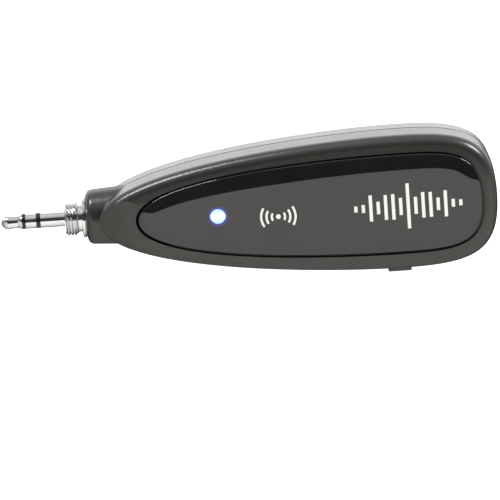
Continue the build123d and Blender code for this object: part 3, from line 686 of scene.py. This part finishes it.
SLOT_FINISHES = (
    housing_plastic,
    gloss_panel,
    adhesive_film,
    light_pipe_plastic,
    screw_steel,
    plated_contact,
    plated_collar,
    plug_insulator,
    circuit_board,
    tinned_sheet,
    chip_package,
    ceramic,
    ferrite,
    tantalum_case,
    connector_plastic,
    white_connector,
    knob_plastic,
    cell_pouch,
    foam,
    red_insulation,
    black_insulation,
    white_insulation,
)


def paint_nodes():
    """Every CAD node gets the finish of its own slot."""
    finishes = {make.__name__: make() for make in SLOT_FINISHES}
    for node in nodes.values():
        for place in node.material_slots:
            place.material = finishes[place.material.name]
    return finishes


# ---- Pieces that stand for CAD nodes whose curves need a finer mesh ----

MERGE_DISTANCE = 0.001 * MM


def skin(form, below, above):
    """Faces between two rings of the same count."""
    for i in range(len(below)):
        j = (i + 1) % len(below)
        form.faces.new((below[i], below[j], above[j], above[i]))


def cap(form, outer, inner):
    """A level face between an outline and a round hole in it."""
    edges = []
    for ring in (outer, inner):
        for i in range(len(ring)):
            first, second = ring[i], ring[(i + 1) % len(ring)]
            edges.append(form.edges.get((first, second)) or form.edges.new((first, second)))
    bmesh.ops.triangle_fill(form, use_beauty=True, edges=edges)


def make_piece(form, name, node, slot, sharp_degrees):
    """Turns finished mesh code into a piece that stands for a CAD node and moves with the housing."""
    bmesh.ops.remove_doubles(form, verts=form.verts, dist=MERGE_DISTANCE)
    bmesh.ops.recalc_face_normals(form, faces=form.faces)
    for face in form.faces:
        face.smooth = True
    mesh = bpy.data.meshes.new(name)
    form.to_mesh(mesh)
    form.free()
    mesh.set_sharp_from_angle(angle=math.radians(sharp_degrees))
    piece = bpy.data.objects.new(name, mesh)
    bpy.context.scene.collection.objects.link(piece)
    mesh.materials.append(finishes[slot])
    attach(piece, "housing")
    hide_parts(node)


# The face panel

WIDEST_X = 76 * MM
PANEL_RISES = (9.9 * MM, 10.9 * MM)
PANEL_RISE_SHRINKS = (1.3, 0.8)
PANEL_RUNS = (14.5 * MM, 12.7 * MM)
PANEL_CROWN = 0.35 * MM
PANEL_CROWN_REACH = 4.6 * MM
PANEL_CROWN_STEPS = 12
PANEL_EDGE_RADIUS = 0.3 * MM
PANEL_EDGE_STEPS = 8
PANEL_HOLE_RADIUS = 1.79 * MM
FLANK_STEPS = 90
CORNER_STEPS = 60
HOLE_STEPS = 72


def bezier(points, steps):
    """Points on one cubic curve, without its last."""
    start, first, second, end = [Vector(point) for point in points]
    found = []
    for step in range(steps):
        t = step / steps
        u = 1 - t
        near_start = u * u * u * start + 3 * u * u * t * first
        found.append(near_start + 3 * u * t * t * second + t * t * t * end)
    return found


def panel_plan(inset):
    """The panel's outline, drawn in by inset, once round from its nose."""
    low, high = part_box("face_panel")
    nose = low.x + inset
    tail = high.x - inset
    wide = high.y - inset
    nose_rise = PANEL_RISES[0] - PANEL_RISE_SHRINKS[0] * inset
    tail_rise = PANEL_RISES[1] - PANEL_RISE_SHRINKS[1] * inset
    front, back = WIDEST_X - PANEL_RUNS[0], WIDEST_X + PANEL_RUNS[1]
    flank = bezier([(nose, 0), (nose, nose_rise), (front, wide), (WIDEST_X, wide)], FLANK_STEPS)
    corner = bezier([(WIDEST_X, wide), (back, wide), (tail, tail_rise), (tail, 0)], CORNER_STEPS)
    far_side = flank + corner
    near_side = [Vector((point.x, -point.y)) for point in reversed(far_side[1:])]
    return far_side + [Vector((tail, 0))] + near_side


def crown_rise(inset):
    return PANEL_CROWN * (1 - (1 - inset / PANEL_CROWN_REACH) ** 3)


def panel_rows():
    """(inset, height) from the foot of the panel's side over its rounded edge to the level middle."""
    low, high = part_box("face_panel")
    edge_z = high.z - PANEL_CROWN
    rows = [(0.0, low.z)]
    for step in range(PANEL_EDGE_STEPS + 1):
        turn = math.pi / 2 * step / PANEL_EDGE_STEPS
        inset = PANEL_EDGE_RADIUS * (1 - math.cos(turn))
        rows.append((inset, edge_z - PANEL_EDGE_RADIUS * (1 - math.sin(turn)) + crown_rise(inset)))
    for step in range(1, PANEL_CROWN_STEPS + 1):
        inset = PANEL_EDGE_RADIUS + (PANEL_CROWN_REACH - PANEL_EDGE_RADIUS) * step / PANEL_CROWN_STEPS
        rows.append((inset, edge_z + crown_rise(inset)))
    return rows


def ring_of(form, points, z):
    return [form.verts.new((point.x, point.y, z)) for point in points]


def make_face():
    """The glossy panel, with a finely rounded edge and a smooth crown."""
    form = bmesh.new()
    rows = panel_rows()
    rings = [ring_of(form, panel_plan(inset), z) for inset, z in rows]
    for below, above in zip(rings, rings[1:]):
        skin(form, below, above)
    middle = lens_place().xy
    angles = [math.tau * i / HOLE_STEPS for i in range(HOLE_STEPS)]
    hole = [middle + PANEL_HOLE_RADIUS * Vector((math.cos(a), math.sin(a))) for a in angles]
    hole_top = ring_of(form, hole, rows[-1][1])
    hole_foot = ring_of(form, hole, rows[0][1])
    skin(form, hole_top, hole_foot)
    cap(form, rings[-1], hole_top)
    cap(form, rings[0], hole_foot)
    make_piece(form, "glossy_face", "face_panel", "gloss_panel", 50)


# The threaded collar, whose rows of points run once round the plug's axis

COLLAR_COLUMNS = 96
THREAD_PITCH = 0.75 * MM
THREAD_CREST = 0.16 * MM
THREAD_ROOT_RADIUS = 3.55 * MM
THREAD_RADIUS = 4.0 * MM
THREAD_END_X = 2.9 * MM
THREAD_LEAD = 0.35 * MM
HEX_ACROSS_FLATS = 9.0 * MM
HEX_ENDS = (6.8 * MM, 8.4 * MM)
# (x, radius) in millimetres: the undercut, the chamfered flange, and the body up to the hexagon
COLLAR_FRONT = (
    (3.05, 3.25),
    (3.95, 3.25),
    (3.95, 4.42),
    (4.08, 4.6),
    (4.58, 4.6),
    (4.7, 4.48),
    (4.7, 4.2),
    (6.8, 4.2),
)
# (x, radius) in millimetres: the tube behind the hexagon, its back face and the bore
COLLAR_BACK = ((8.4, 3.6), (10.1, 3.6), (10.1, 2.3), (0.0, 2.3))


def thread_row(start, height):
    """One line along the thread: it climbs one pitch in a turn and fades out at both ends."""
    points = []
    for column in range(COLLAR_COLUMNS + 1):
        climbed = start + THREAD_PITCH * column / COLLAR_COLUMNS
        x = min(max(climbed, 0.0), THREAD_END_X)
        fade = min(1.0, x / THREAD_LEAD, (THREAD_END_X - x) / THREAD_LEAD)
        points.append((x, THREAD_ROOT_RADIUS + (THREAD_RADIUS - THREAD_ROOT_RADIUS) * height * fade))
    return points


def thread_rows():
    """Three lines for each turn: its root and both edges of its crest."""
    flank = (THREAD_PITCH - THREAD_CREST) / 2
    last_turn = math.ceil(THREAD_END_X / THREAD_PITCH)
    rows = []
    for turn in range(-1, last_turn + 1):
        start = turn * THREAD_PITCH
        rows.append(thread_row(start, 0.0))
        rows.append(thread_row(start + flank, 1.0))
        rows.append(thread_row(start + flank + THREAD_CREST, 1.0))
    return rows


def round_row(x, radius):
    return [(x * MM, radius * MM)] * (COLLAR_COLUMNS + 1)


def hex_row(x):
    """A row that follows six flats."""
    points = []
    for column in range(COLLAR_COLUMNS + 1):
        turn = math.tau * column / COLLAR_COLUMNS
        from_flat = (turn + math.pi / 6) % (math.pi / 3) - math.pi / 6
        points.append((x, HEX_ACROSS_FLATS / 2 / math.cos(from_flat)))
    return points


def collar_rows():
    """Rows of (x, radius) from the collar's front over its outside to its back and through its bore."""
    front = [round_row(x, radius) for x, radius in COLLAR_FRONT]
    hexagon = [hex_row(x) for x in HEX_ENDS]
    back = [round_row(x, radius) for x, radius in COLLAR_BACK]
    return thread_rows() + front + hexagon + back


def make_collar():
    """The locking collar with its true helical thread."""
    form = bmesh.new()
    grid = []
    for row in collar_rows():
        line = []
        for column, (x, radius) in enumerate(row):
            turn = math.tau * column / COLLAR_COLUMNS
            line.append(form.verts.new((x, radius * math.cos(turn), radius * math.sin(turn))))
        grid.append(line)
    for below, above in zip(grid, grid[1:] + grid[:1]):
        for column in range(COLLAR_COLUMNS):
            form.faces.new((below[column], below[column + 1], above[column + 1], above[column]))
    make_piece(form, "locking_collar", "threaded_collar", "plated_collar", 30)


# ---- The scene ----

bpy.context.scene.view_settings.view_transform = "Standard"
make_camera()
tent_world()
for name, (place, power) in WINDOWS.items():
    window(name, place, power)
make_floor()
finishes = paint_nodes()
make_face()
make_collar()
